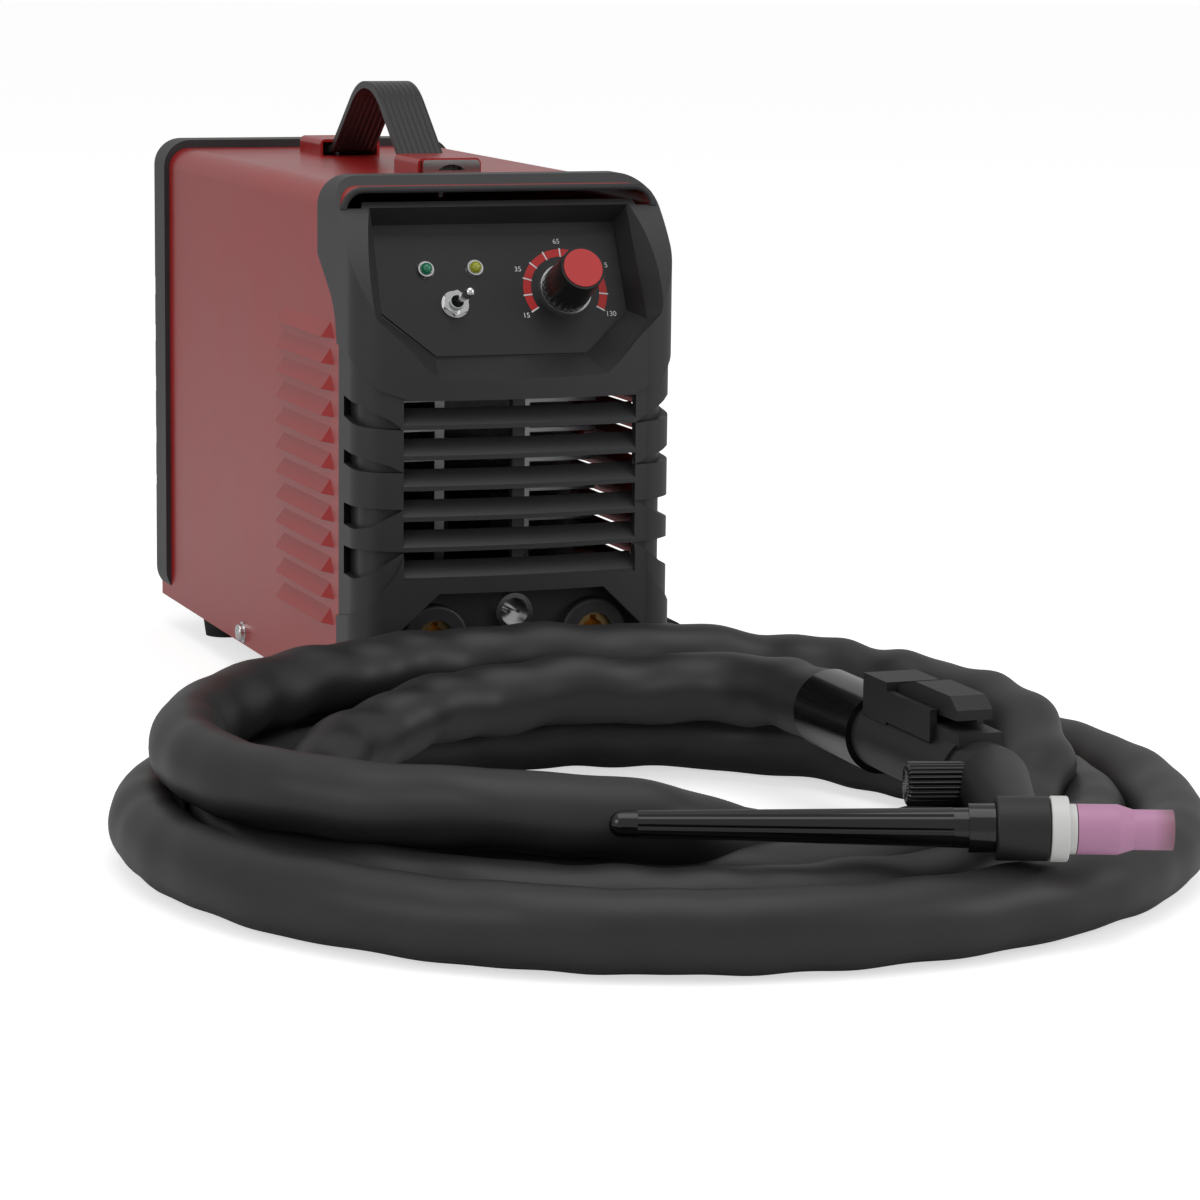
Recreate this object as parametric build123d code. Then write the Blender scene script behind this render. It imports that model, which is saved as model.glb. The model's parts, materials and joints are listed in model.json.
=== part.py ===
from build123d import *
import math
import os

os.makedirs("parts", exist_ok=True)

# Inverter TIG welder with its torch and coiled hose, in millimetres.
# The floor is z = 0, +Z is up, the control panel faces -Y, and the origin is the
# centre of the four feet on the floor.

# ---- driving dimensions: the machine ----
body_width = 130.0
body_depth = 285.0
body_top = 218.0
foot_height = 14.0
sheet = 1.2
bend_radius = 9.0

front = -body_depth / 2.0          # front edge of the steel cover
back = body_depth / 2.0            # rear edge of the steel cover
half = body_width / 2.0

# ---- driving dimensions: the two plastic end mouldings ----
moulding_half = 66.5
moulding_top = 221.5
moulding_bottom = 15.0
moulding_face = front - 27.7       # front face beside the corners
moulding_bow = 4.3                 # how far the middle of the face bows out
moulding_corner = 14.0             # plan radius of the front corners
moulding_wall = 5.2
lean_start = 140.0                 # height where the face starts to lean back
lean_radius = 93.0
rear_half = 67.3
rear_end = back + 4.5
rear_skirt = 17.0

# ---- driving dimensions: the leaning control panel ----
panel_lean = math.radians(27.0)
panel_origin = Vector(0.0, front + 14.1, 209.5)
panel_normal = Vector(0.0, -math.cos(panel_lean), math.sin(panel_lean))
panel_plane = Plane(origin=panel_origin, x_dir=(1, 0, 0), z_dir=panel_normal)
recess_depth = 12.0
plate = 0.6
knob_at = (26.4, -37.0)
toggle_at = (-20.2, -42.2)
power_light_at = (-30.3, -27.5)
heat_light_at = (-10.0, -27.3)

# ---- driving dimensions: grille and sockets ----
slat_count = 6
slat_pitch = 11.92
first_lip = 128.1
grille_half = 47.8
socket_spacing = 33.0
socket_height = 43.0
socket_ring_radius = 13.5
contact_bore_radius = 4.6
control_socket_height = 52.0

# ---- driving dimensions: carrying strap ----
strap_width = 19.0
strap_thickness = 3.0
strap_middle = front + 150.0
strap_reach = 86.0
bridge_near = 54.0                 # from the middle of the strap to a bridge's open end
bridge_far = 86.0
bridge_half = 13.5
bridge_height = 7.0

# ---- driving dimensions: torch and hose ----
hose_radius = 14.0
torch_height = 40.0
handle_x = 65.0
handle_radius = 12.5
cuff_radius = 14.7
cuff_rear = front - 186.0
cuff_front = front - 233.0
handle_front = front - 322.0
head_centre = Vector(46.0, front - 383.5, 39.0)
head_axis = Vector(0.938, -0.346, 0.0).normalized()
valve_axis = Vector(-0.965, 0.263, 0.0).normalized()
valve_origin = Vector(handle_x, handle_front, torch_height)
coil_centre = Vector(-13.0, front - 223.5, 0.0)
coil_half_x = 195.0
coil_half_y = 191.0


# ---- helpers ----
def save(name, *shapes):
    """Write one STEP file holding every solid of the given shapes."""
    solids = [solid for shape in shapes for solid in shape.solids()]
    body = solids[0] if len(solids) == 1 else Compound(children=solids)
    body.label = name
    export_step(body, f"parts/{name}.step")


def block(x0, x1, y0, y1, z0, z1):
    """Box between two corners."""
    middle = Pos((x0 + x1) / 2.0, (y0 + y1) / 2.0, (z0 + z1) / 2.0)
    return middle * Box(x1 - x0, y1 - y0, z1 - z0)


def rod(radius, length, start, direction):
    """Round bar that starts at a point and runs along a direction."""
    base = (Align.CENTER, Align.CENTER, Align.MIN)
    return Plane(origin=start, z_dir=direction) * Cylinder(radius, length, align=base)


def taper(radius, end_radius, length, start, direction):
    """Round bar whose radius changes from one end to the other."""
    base = (Align.CENTER, Align.CENTER, Align.MIN)
    return Plane(origin=start, z_dir=direction) * Cone(radius, end_radius, length, align=base)


def pipe(radius, bore, length, start, direction):
    """Round tube with a through bore."""
    return rod(radius, length, start, direction) - rod(bore, length, start, direction)


def prism(plane, points, height):
    """Straight prism on a plane, from a closed polygon."""
    return extrude(plane * make_face(Polyline(*points, close=True)), amount=height)


def rounded(plane, width, height, radius, length, centre=(0.0, 0.0)):
    """Prism of a rectangle with round corners, centred on a point of the plane."""
    return extrude(plane * Pos(*centre) * RectangleRounded(width, height, radius), amount=length)


def on_panel(x, s, d=0.0):
    """Point at x across and s up the control panel, d in front of its surface."""
    return panel_plane.from_local_coords(Vector(x, s, d))


def panel_rod(radius, centre, d0, d1):
    """Round bar standing on the control panel between two depths."""
    return rod(radius, d1 - d0, on_panel(centre[0], centre[1], d0), panel_normal)


# ---- cover, tray and feet ----
def cover_profile(inset, length, start):
    """Outer volume of the steel cover, shrunk by inset, with its two bent shoulders."""
    radius = bend_radius - inset
    side = half - inset
    top = body_top - inset
    middle = radius * math.sqrt(0.5)
    left_bend = ThreePointArc(
        (-side, top - radius),
        (-side + radius - middle, top - radius + middle),
        (-side + radius, top),
    )
    right_bend = ThreePointArc(
        (side - radius, top),
        (side - radius + middle, top - radius + middle),
        (side, top - radius),
    )
    outline = make_face([
        Line((-side, foot_height), (-side, top - radius)),
        left_bend,
        Line((-side + radius, top), (side - radius, top)),
        right_bend,
        Line((side, top - radius), (side, foot_height)),
        Line((side, foot_height), (-side, foot_height)),
    ])
    plane = Plane(origin=(0, start, 0), x_dir=(1, 0, 0), z_dir=(0, -1, 0))
    return extrude(plane * outline, amount=-length)


louvre_count = 12
louvre_pitch = 10.35
louvre_top_edge = 158.5
louvre_height = 6.2
louvre_reach = 3.0


def louvre(side, lip, shift):
    """Pressed scoop: its lip stands off the sheet and both ends slope back to it."""
    sheet_x = side * (half - shift)
    lip_x = side * (half - shift + louvre_reach)
    ridge = lip + louvre_height
    tip = (sheet_x, front + 9.2, lip)
    ridge_front = (sheet_x, front + 14.0, ridge)
    ridge_back = (sheet_x, front + 80.4, ridge)
    tail = (sheet_x, front + 92.5, lip)
    lip_front = (lip_x, front + 17.5, lip)
    lip_back = (lip_x, front + 82.5, lip)
    faces = [
        (tip, lip_front, lip_back, tail),
        (ridge_front, ridge_back, lip_back, lip_front),
        (tip, ridge_front, lip_front),
        (tail, lip_back, ridge_back),
        (tip, tail, ridge_back, ridge_front),
    ]
    return Solid(Shell([Face(Wire.make_polygon(corners)) for corners in faces]))


def strap_bridge(side):
    """Pressed bridge that an end of the carrying strap runs through."""
    near = strap_middle + side * bridge_near
    far = strap_middle + side * bridge_far
    y0, y1 = min(near, far), max(near, far)
    top = body_top + bridge_height
    outside = block(-bridge_half, bridge_half, y0, y1, body_top - 1.0, top)
    outside = fillet(outside.edges().filter_by(Axis.Y).group_by(Axis.Z)[-1], 2.4)
    wide = bridge_half - sheet
    inside = block(-wide, wide, y0 - 1, y1 + 1, body_top - 3.0, top - sheet)
    return outside, inside


def make_cover():
    shell = cover_profile(0.0, body_depth, front)
    shell -= cover_profile(sheet, body_depth + 2, front - 1)
    shell -= block(-half + sheet, half - sheet, front - 1, back + 1, 0, foot_height + 1)
    for side in (-1, 1):
        for row in range(louvre_count):
            lip = louvre_top_edge - row * louvre_pitch
            shell = shell + louvre(side, lip, 0.0) - louvre(side, lip, 1.3)
    for side in (-1, 1):
        outside, inside = strap_bridge(side)
        shell = shell + outside - inside
    for side in (-1, 1):
        start = (side * (half - 3), front + 143.8, cover_screw_height)
        shell -= rod(2.1, 6, start, (side, 0, 0))
    return shell


cover_screw_height = 19.4
flange_height = 40.0
tray_ends = 2.0


def make_tray():
    y0, y1 = front + tray_ends, back - tray_ends
    side = half - sheet
    tray = block(-side, side, y0, y1, foot_height, foot_height + sheet)
    for sign in (-1, 1):
        x0, x1 = sorted((sign * side, sign * (side - sheet)))
        tray += block(x0, x1, y0, y1, foot_height, flange_height)
        start = (sign * (half - 4), front + 143.8, cover_screw_height)
        tray -= rod(1.6, 6, start, (sign, 0, 0))
    for x, y in foot_places:
        tray -= rod(2.1, 4, (x, y, foot_height - 1), (0, 0, 1))
    for place in range(8):
        y = front + 70 + place * 18
        tray -= block(-30, 30, y, y + 5, foot_height - 1, foot_height + 3)
    return tray


foot_places = [(x, y) for x in (-45.0, 45.0) for y in (front + 37.0, front + 248.0)]


def make_feet():
    feet = []
    for x, y in foot_places:
        foot = taper(9.0, 11.0, foot_height, (x, y, 0), (0, 0, 1))
        foot -= rod(4.6, 4.5, (x, y, 0), (0, 0, 1))
        foot -= rod(2.1, foot_height, (x, y, 0), (0, 0, 1))
        feet.append(foot)
    return feet


def make_foot_screws():
    screws = []
    for x, y in foot_places:
        screw = rod(2.0, 15.0, (x, y, 4.5), (0, 0, 1))
        screw += rod(4.0, 2.5, (x, y, 2.0), (0, 0, 1))
        screws.append(screw)
    return screws


def make_cover_screws():
    screws = []
    for side in (-1, 1):
        axis = (side, 0, 0)
        place = (side * half, front + 143.8, cover_screw_height)
        screw = rod(4.6, 0.8, place, axis)
        head = rod(3.6, 2.6, (side * (half + 0.7), place[1], place[2]), axis)
        screw += fillet(head.edges().group_by(Axis.X)[-1 if side > 0 else 0], 1.2)
        screw += rod(1.5, 8.0, (side * (half - 8), place[1], place[2]), axis)
        screws.append(screw)
    return screws


# ---- front moulding ----
def moulding_volume(inset):
    """Outer volume of the front moulding, shrunk by inset: plan x side x front outlines."""
    side = moulding_half - inset
    radius = moulding_corner - inset
    face = moulding_face + inset
    rear = front + 27.3
    across = side - radius
    middle = radius * math.sqrt(0.5)
    plan = make_face([
        Line((-side, rear), (-side, face + radius)),
        ThreePointArc(
            (-side, face + radius),
            (-across - middle, face + radius - middle),
            (-across, face),
        ),
        ThreePointArc((-across, face), (0, face - moulding_bow), (across, face)),
        ThreePointArc(
            (across, face),
            (across + middle, face + radius - middle),
            (side, face + radius),
        ),
        Line((side, face + radius), (side, rear)),
        Line((side, rear), (-side, rear)),
    ])
    nose = face - moulding_bow
    lean = lean_radius - inset
    top = moulding_top - inset
    bottom = moulding_bottom + inset
    angle = math.asin((top - lean_start) / lean)
    lean_end = (nose + lean - lean * math.cos(angle), top)
    lean_half = (
        nose + lean - lean * math.cos(angle / 2),
        lean_start + lean * math.sin(angle / 2),
    )
    profile = make_face([
        Line((nose, bottom), (nose, lean_start)),
        ThreePointArc((nose, lean_start), lean_half, lean_end),
        Line(lean_end, (rear, top)),
        Line((rear, top), (rear, 190.5)),
        Line((rear, 190.5), (front + 12.0, 178.5)),
        ThreePointArc((front + 12.0, 178.5), (front + 4.2, 169.5), (front + 1.0, 157.0)),
        Line((front + 1.0, 157.0), (front + 1.0, bottom)),
        Line((front + 1.0, bottom), (nose, bottom)),
    ])
    shoulder = 12.0 - inset
    outline = Pos(0, (bottom + top) / 2) * RectangleRounded(2 * side, top - bottom, shoulder)
    outline += Pos(0, bottom + 10) * Rectangle(2 * side, 20)
    volume = extrude(plan, amount=260)
    volume &= extrude(Plane.YZ * profile, amount=100, both=True)
    facing = Plane(origin=(0, 0, 0), x_dir=(1, 0, 0), z_dir=(0, -1, 0))
    volume &= extrude(facing * outline, amount=300, both=True)
    return volume


def panel_outline(width_top, width_low, width_bottom, top, low, bottom):
    """Outline of the control recess: its lower corners are cut off."""
    return [
        (-width_top, top),
        (-width_low, low),
        (-width_bottom, bottom),
        (width_bottom, bottom),
        (width_low, low),
        (width_top, top),
    ]


def panel_recess(grow):
    """Control recess: sloped walls up to the rim, then straight out of the moulding."""
    floor_plane = Plane(on_panel(0, 0, -grow), x_dir=(1, 0, 0), z_dir=panel_normal)
    rim_plane = Plane(on_panel(0, 0, recess_depth), x_dir=(1, 0, 0), z_dir=panel_normal)
    flare_plane = Plane(on_panel(0, 0, recess_depth + 10), x_dir=(1, 0, 0), z_dir=panel_normal)
    floor_points = panel_outline(51 + grow, 51 + grow, 31 + grow, -8 + grow, -46 - grow, -64 - grow)
    rim_points = panel_outline(53 + grow, 54.5 + grow, 35 + grow, -6 + grow, -54.5 - grow, -78 - grow)
    flare_points = panel_outline(60 + grow, 61.5 + grow, 35 + grow, -6 + grow, -54.5 - grow, -78 - grow)
    faces = []
    for plane, points in (
        (floor_plane, floor_points),
        (rim_plane, rim_points),
        (flare_plane, flare_points),
    ):
        faces.append(plane * make_face(Polyline(*points, close=True)))
    walls = loft([faces[0], faces[1]], ruled=True)
    return walls + loft([faces[1], faces[2]], ruled=True)


def face_prism(points, y0, y1):
    """Prism along Y from a polygon of (x, z) points."""
    plane = Plane(origin=(0, y1, 0), x_dir=(1, 0, 0), z_dir=(0, -1, 0))
    return prism(plane, points, y1 - y0)


def socket_recess(grow):
    """Shallow trapezoid recess that holds the sockets."""
    points = [
        (-34 - grow / 2, 62 + grow),
        (-51 - grow, 46 + grow / 2),
        (-51 - grow, 24 - grow),
        (51 + grow, 24 - grow),
        (51 + grow, 46 + grow / 2),
        (34 + grow / 2, 62 + grow),
    ]
    return face_prism(points, front - 45, front - 18.5 + grow)


def corner_cut(side, points, depth):
    """Pocket cut into a front corner: a polygon seen along the corner's diagonal."""
    c = math.sqrt(0.5)
    origin = (side * 30.0, moulding_face + 36.0, 0.0)
    plane = Plane(origin=origin, x_dir=(c, side * c, 0), z_dir=(side * c, -c, 0))
    points = [(-side * t, z) for t, z in points]
    return prism(plane, points, 90) - moulding_volume(depth)


scoops = [
    [(-15, 138), (-15, 130), (-4, 127.5), (13, 126), (8, 130.5), (-2, 135.5)],
    [(-15, 117), (-15, 111.5), (-4, 110), (13, 109.5), (8, 112.5), (-2, 115.6)],
    [(-15, 96), (-15, 87.5), (-6, 87), (2, 88.5), (13, 95.2), (0, 96)],
    [(-15, 79), (-15, 68), (-6, 67.5), (2, 70), (13, 78.7), (0, 79.5)],
]
corner_panel = [
    (-22, 158), (-10, 155), (-2, 149), (5, 142), (13.5, 138.5),
    (14.5, 130), (14.5, 80), (11, 70), (5, 61), (-4, 54), (-22, 50),
]


def make_slats():
    """Six sloping slats whose lips follow the bow of the front face."""
    across = moulding_half - moulding_corner
    bow_radius = (across ** 2 + moulding_bow ** 2) / (2 * moulding_bow)
    centre_y = moulding_face - moulding_bow + bow_radius
    reach = bow_radius - 0.8
    sweep = 2 * math.degrees(math.asin((grille_half + 1) / reach))
    plane = Plane(origin=(0, centre_y, 0), x_dir=(0, -1, 0), z_dir=(-1, 0, 0))
    axis = Axis((0, centre_y, 0), (0, 0, 1))
    slats = []
    for row in range(slat_count):
        lip = first_lip - row * slat_pitch
        points = [
            (reach, lip),
            (reach - 6.2, lip + 6.0),
            (reach - 6.2, lip + 3.6),
            (reach - 0.8, lip - 1.8),
            (reach, lip - 1.8),
        ]
        face = plane * make_face(Polyline(*points, close=True))
        slat = revolve(face, axis, sweep)
        slats.append(slat.rotate(axis, -sweep / 2 if slat.center().X > 0 else sweep / 2))
    return slats


def make_front_moulding():
    body = moulding_volume(0.0)
    last_lip = first_lip - (slat_count - 1) * slat_pitch
    hollow = moulding_volume(moulding_wall)
    hollow += cover_profile(0.0, 40, front - 0.4)
    hollow -= panel_recess(3.0)
    hollow -= socket_recess(3.0)
    for side in (-1, 1):
        body -= corner_cut(side, corner_panel, 1.0)
        for points in scoops:
            body -= corner_cut(side, points, 4.4)
    body -= hollow
    body -= panel_recess(0.0)
    body -= socket_recess(0.0)
    opening = [
        (-grille_half, last_lip - 1.0),
        (grille_half, last_lip - 1.0),
        (grille_half, 137.5),
        (-grille_half, 137.5),
    ]
    body -= face_prism(opening, front - 45, front - 12)
    window = block(-grille_half - 0.4, grille_half + 0.4, front - 40, front, 60, 140)
    for slat in make_slats():
        body += slat & window
    body += block(-2.5, 2.5, front - 25.0, front - 21.0, last_lip - 3, 139.0)
    for side in (-1, 1):
        body -= rod(10.4, 6, (side * socket_spacing, front - 14, socket_height), (0, -1, 0))
    body -= rod(6.6, 6, (0, front - 14, control_socket_height), (0, -1, 0))
    body -= panel_rod(4.1, knob_at, -5, 1)
    body -= panel_rod(3.1, toggle_at, -5, 1)
    for place in (power_light_at, heat_light_at):
        body -= panel_rod(2.9, place, -5, 1)
    return body


# ---- rear moulding ----
rear_notches = [(155.0, 8.0), (133.5, 7.5), (110.5, 7.0), (87.0, 7.5), (66.5, 5.0)]
rear_wall = 2.8
fan_height = 128.0
fan_radius = 37.0
switch_at = (-36.0, 50.0)
gland_at = (36.0, 50.0)


def make_rear_moulding():
    plane = Plane(origin=(0, rear_end, 0), x_dir=(1, 0, 0), z_dir=(0, -1, 0))
    middle = (moulding_bottom + moulding_top) / 2
    tall = moulding_top - moulding_bottom
    length = rear_end - (back - rear_skirt)
    body = rounded(plane, 2 * rear_half, tall, 12, length, (0, middle))
    body = fillet(body.edges().group_by(Axis.Y)[-1], 4.0)
    for side in (-1, 1):
        for height, tall_notch in rear_notches:
            x0, x1 = sorted((side * (rear_half - 1.9), side * (rear_half + 2)))
            body -= block(x0, x1, back + 0.5, rear_end + 1, height - tall_notch / 2, height + tall_notch / 2)
    body -= cover_profile(0.0, rear_skirt + 1, back - rear_skirt - 1)
    inner = rear_end - rear_wall
    body -= rounded(
        Plane(origin=(0, inner, 0), x_dir=(1, 0, 0), z_dir=(0, -1, 0)),
        2 * half - 6, tall - 10, 8, inner - back, (0, middle),
    )
    body -= rod(fan_radius, 8, (0, rear_end - 5, fan_height), (0, 1, 0))
    for x in (-35.75, 35.75):
        for z in (fan_height - 35.75, fan_height + 35.75):
            body -= rod(2.1, 8, (x, rear_end - 5, z), (0, 1, 0))
    x, z = switch_at
    body -= block(x - 10.5, x + 10.5, rear_end - 6, rear_end + 1, z - 14.5, z + 14.5)
    body -= rod(8.2, 8, (gland_at[0], rear_end - 5, gland_at[1]), (0, 1, 0))
    return body


# ---- control panel ----
def make_control_plate():
    points = [
        (-50.5, -12.0), (-50.5, -45.2), (-30.8, -63.6),
        (30.8, -63.6), (50.5, -45.2), (50.5, -12.0),
    ]
    body = prism(panel_plane, points, plate)
    body -= panel_rod(4.1, knob_at, -1, 2)
    body -= panel_rod(3.1, toggle_at, -1, 2)
    for place in (power_light_at, heat_light_at):
        body -= panel_rod(2.9, place, -1, 2)
    return body


knob_radius = 8.9
knob_height = 23.5


def make_knob():
    base = on_panel(knob_at[0], knob_at[1], 2.4)
    body = taper(9.9, knob_radius, knob_height - 2.4, base, panel_normal)
    top = rod(knob_radius - 0.9, 1.0, on_panel(*knob_at, knob_height - 1.0), panel_normal)
    body -= top
    shaft = rod(3.1, 12.0, base, panel_normal)
    grooves = []
    for step in range(24):
        angle = math.radians(step * 15)
        x = knob_at[0] + 10.2 * math.cos(angle)
        s = knob_at[1] + 10.2 * math.sin(angle)
        grooves.append(rod(0.7, 16.0, on_panel(x, s, 2.0), panel_normal))
    body -= shaft
    for groove in grooves:
        body -= groove
    return body


def make_lamp(place):
    """Light-emitting diode: round dome in front, flange and two legs behind."""
    lamp = panel_rod(2.4, place, -6.0, 2.2)
    dome = Plane(on_panel(*place, 2.2), z_dir=panel_normal) * Sphere(2.4)
    lamp += dome
    for offset in (-1.27, 1.27):
        lamp += panel_rod(0.3, (place[0] + offset, place[1]), -14.2, -5.8)
    return lamp


def make_bezel(place):
    """Chromed ring that holds a lamp in the panel."""
    start = on_panel(*place, plate)
    ring = taper(3.8, 3.2, 1.5, start, panel_normal)
    return ring - panel_rod(2.55, place, 0, 4)


toggle_tilt = math.radians(11.0)
toggle_length = 16.0
toggle_pivot = on_panel(toggle_at[0], toggle_at[1], 2.0)
toggle_direction = (
    Vector(1, 0, 0) * math.sin(toggle_tilt)
    + panel_normal * math.cos(toggle_tilt)
)


def make_toggle_body():
    frame = rounded(panel_plane, 13.0, 8.0, 0.6, -11.0, toggle_at)
    body = Location(panel_normal * -3.0) * frame
    bush = panel_rod(3.0, toggle_at, -3.0, 4.4)
    body += bush
    cavity = panel_plane * Pos(toggle_at[0], toggle_at[1], -3.6)
    body -= cavity * Cone(1.6, 2.6, 8.1, align=(Align.CENTER, Align.CENTER, Align.MIN))
    return body


def make_toggle_nut():
    start = on_panel(*toggle_at, plate)
    plane = Plane(origin=start, x_dir=(0.94, 0, 0.34), z_dir=panel_normal)
    nut = extrude(plane * RegularPolygon(5.5, 6), amount=2.4)
    nut += rod(5.6, 0.5, start, panel_normal)
    return nut - panel_rod(3.05, toggle_at, -1, 6)


def make_toggle_lever():
    start = toggle_pivot - toggle_direction * 3.4
    lever = taper(0.9, 1.15, 6.4, start, toggle_direction)
    tip = toggle_pivot + toggle_direction * (toggle_length - 4.0)
    lever += taper(1.15, 2.1, toggle_length - 6.9, start + toggle_direction * 6.3, toggle_direction)
    return lever + Plane(tip - toggle_direction * 0.1, z_dir=toggle_direction) * Sphere(2.1)


def make_control_board():
    points = [(-38, -6), (-38, -56), (38, -56), (38, -6)]
    plane = Plane(on_panel(0, 0, -16.0), x_dir=(1, 0, 0), z_dir=panel_normal)
    return prism(plane, points, 1.6)


# ---- sockets ----
def make_power_socket_body(side):
    x = side * socket_spacing
    floor = front - 18.5
    body = rod(socket_ring_radius, 5.0, (x, floor, socket_height), (0, -1, 0))
    body = fillet(body.edges().group_by(Axis.Y)[0], 1.5)
    body += rod(10.3, 18.0, (x, floor + 18.0, socket_height), (0, -1, 0))
    return body - rod(7.5, 60.0, (x, floor + 30.0, socket_height), (0, -1, 0))


def make_power_contact(side):
    x = side * socket_spacing
    start = (x, front - 21.0, socket_height)
    body = rod(7.5, 30.0, start, (0, 1, 0))
    body -= rod(contact_bore_radius, 24.0, start, (0, 1, 0))
    key = block(x - 1.3, x + 1.3, front - 22, front + 3.0, socket_height, socket_height + 6.2)
    body -= key & rod(6.2, 60, (x, front - 30, socket_height), (0, 1, 0))
    return body


def make_control_socket():
    start = (0, front - 18.5, control_socket_height)
    body = pipe(7.5, 5.6, 3.0, start, (0, -1, 0))
    body += pipe(6.5, 5.6, 9.0, (0, front - 9.5, control_socket_height), (0, -1, 0))
    body += rod(5.7, 2.0, (0, front - 10.5, control_socket_height), (0, -1, 0))
    for x in (-2.0, 2.0):
        body += rod(0.8, 12.0, (x, front - 8.0, control_socket_height), (0, -1, 0))
    return body


# ---- strap ----
strap_level = body_top + 2.8
strap_rise = math.radians(38.0)
strap_knee = 50.5


def make_strap():
    peak = strap_level + strap_knee * math.tan(strap_rise)
    path = FilletPolyline(
        (0, strap_middle - strap_reach, strap_level),
        (0, strap_middle - strap_knee, strap_level),
        (0, strap_middle, peak),
        (0, strap_middle + strap_knee, strap_level),
        (0, strap_middle + strap_reach, strap_level),
        radius=(12.0, 34.5, 12.0),
    )
    start = Plane(origin=(0, strap_middle - strap_reach, strap_level), x_dir=(1, 0, 0), z_dir=(0, 1, 0))
    strap = sweep(start * Rectangle(strap_width, strap_thickness), path=path)
    for side in (-1, 1):
        y = strap_middle + side * (bridge_near + 20)
        strap -= rod(2.2, 10, (0, y, strap_level - 5), (0, 0, 1))
    return strap


def make_strap_end_caps():
    """Bright clips that close the two ends of the strap."""
    caps = []
    for side in (-1, 1):
        y = strap_middle + side * strap_reach
        y0, y1 = sorted((y, y + side * 3.0))
        cap = block(-12.1, 12.1, y0, y1, body_top + 0.2, body_top + 6.4)
        cap = fillet(cap.edges().filter_by(Axis.Y), 1.6)
        plane = Plane(origin=(0, y0 - 1, body_top - 3.6), x_dir=(1, 0, 0), z_dir=(0, 1, 0))
        arch = extrude(plane * Pos(0, 0) * Circle(8.2), amount=5)
        window = block(-7.6, 7.6, y0 - 1, y1 + 1, body_top + 2.2, body_top + 5.2)
        caps.append(cap - (arch & window))
    return caps


def make_strap_screws():
    screws = []
    for side in (-1, 1):
        y = strap_middle + side * (bridge_near + 20)
        under = strap_level + strap_thickness / 2
        screw = rod(4.2, 1.1, (0, y, under), (0, 0, 1))
        screw += rod(2.0, 14.0, (0, y, under - 13.9), (0, 0, 1))
        screws.append(screw)
    return screws


# ---- inside ----
board_height = 27.0
board_thickness = 1.6
board_top = board_height + board_thickness
sink_bottom = 40.0
sink_top = 158.0
fin_pitch = 5.96


def make_standoffs():
    posts = []
    for x in (-48, 48):
        for y in (front + 54, front + 142, front + 230):
            start = (x, y, foot_height + sheet)
            posts.append(rod(3.0, board_height - foot_height - sheet, start, (0, 0, 1)))
    return posts


def make_heatsinks():
    """Two comb heatsinks: a base plate and level fins in the fan's air stream."""
    sinks = []
    for side in (-1, 1):
        y0 = front + 14 if side > 0 else front + 26
        y1 = front + 160
        x0, x1 = sorted((side * 14.0, side * 18.0))
        sink = block(x0, x1, y0, y1, sink_bottom, sink_top)
        rows = int((sink_top - sink_bottom) / fin_pitch)
        for row in range(rows):
            z = sink_bottom + 1.0 + row * fin_pitch
            x0, x1 = sorted((side * 17.5, side * 46.0))
            sink += block(x0, x1, y0, y1, z, z + 1.6)
        sinks.append(sink)
    return sinks


def make_devices(side, count, pitch, height):
    """Power devices bolted to the flat face of a heatsink."""
    devices = []
    for place in range(count):
        y = front + 36 + place * pitch
        x0, x1 = sorted((side * 14.0, side * 9.0))
        devices.append(block(x0, x1, y, y + 16, height, height + 21))
    return devices


def make_transformer_core():
    y0, y1 = front + 176, front + 206
    core = block(-46, 4, y0, y1, board_top, board_top + 52)
    for x0, x1 in ((-38, -28), (-14, -4)):
        core -= block(x0, x1, y0 - 1, y1 + 1, board_top + 9, board_top + 43)
    return core


def make_transformer_windings():
    y0, y1 = front + 166.5, front + 215.5
    outer = block(-37.5, -4.5, y0, y1, board_top + 9.5, board_top + 42.5)
    outer = fillet(outer.edges().filter_by(Axis.Z), 8.0)
    return outer - block(-28, -14, front + 175.8, front + 206.2, board_top, board_top + 60)


def make_choke_core():
    return pipe(18.0, 10.0, 16.0, (30, front + 200, board_top + 24), (0, 1, 0))


def make_choke_windings():
    """Twelve turns of heavy wire around the ring core of the output choke."""
    turns = []
    for place in range(12):
        angle = place * 360 / 12 + 15
        outer = Pos(14.0, 0, 0) * Box(12.6, 20.4, 3.2)
        inner = Pos(14.0, 0, 0) * Box(9.0, 16.4, 8.0)
        turn = Rot(0, angle, 0) * (outer - inner)
        turns.append(Pos(30, front + 208, board_top + 24) * turn)
    return turns


def make_capacitors():
    cans = []
    for x in (-20, 14, 46):
        can = rod(12.0 if x < 46 else 8.0, 40.0, (x, front + 236, board_top), (0, 0, 1))
        cans.append(fillet(can.edges().group_by(Axis.Z)[-1], 1.5))
    return cans


def make_busbars():
    bars = []
    for side in (-1, 1):
        x = side * socket_spacing
        bar = block(x - 6, x + 6, front + 9, front + 11, board_top, socket_height + 7)
        bar += block(x - 6, x + 6, front + 9, front + 52, board_top, board_top + 2)
        bars.append(bar)
    return bars


# ---- fan, switch and gland ----
fan_front = rear_end - rear_wall - 25.0
fan_depth = 25.0


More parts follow.
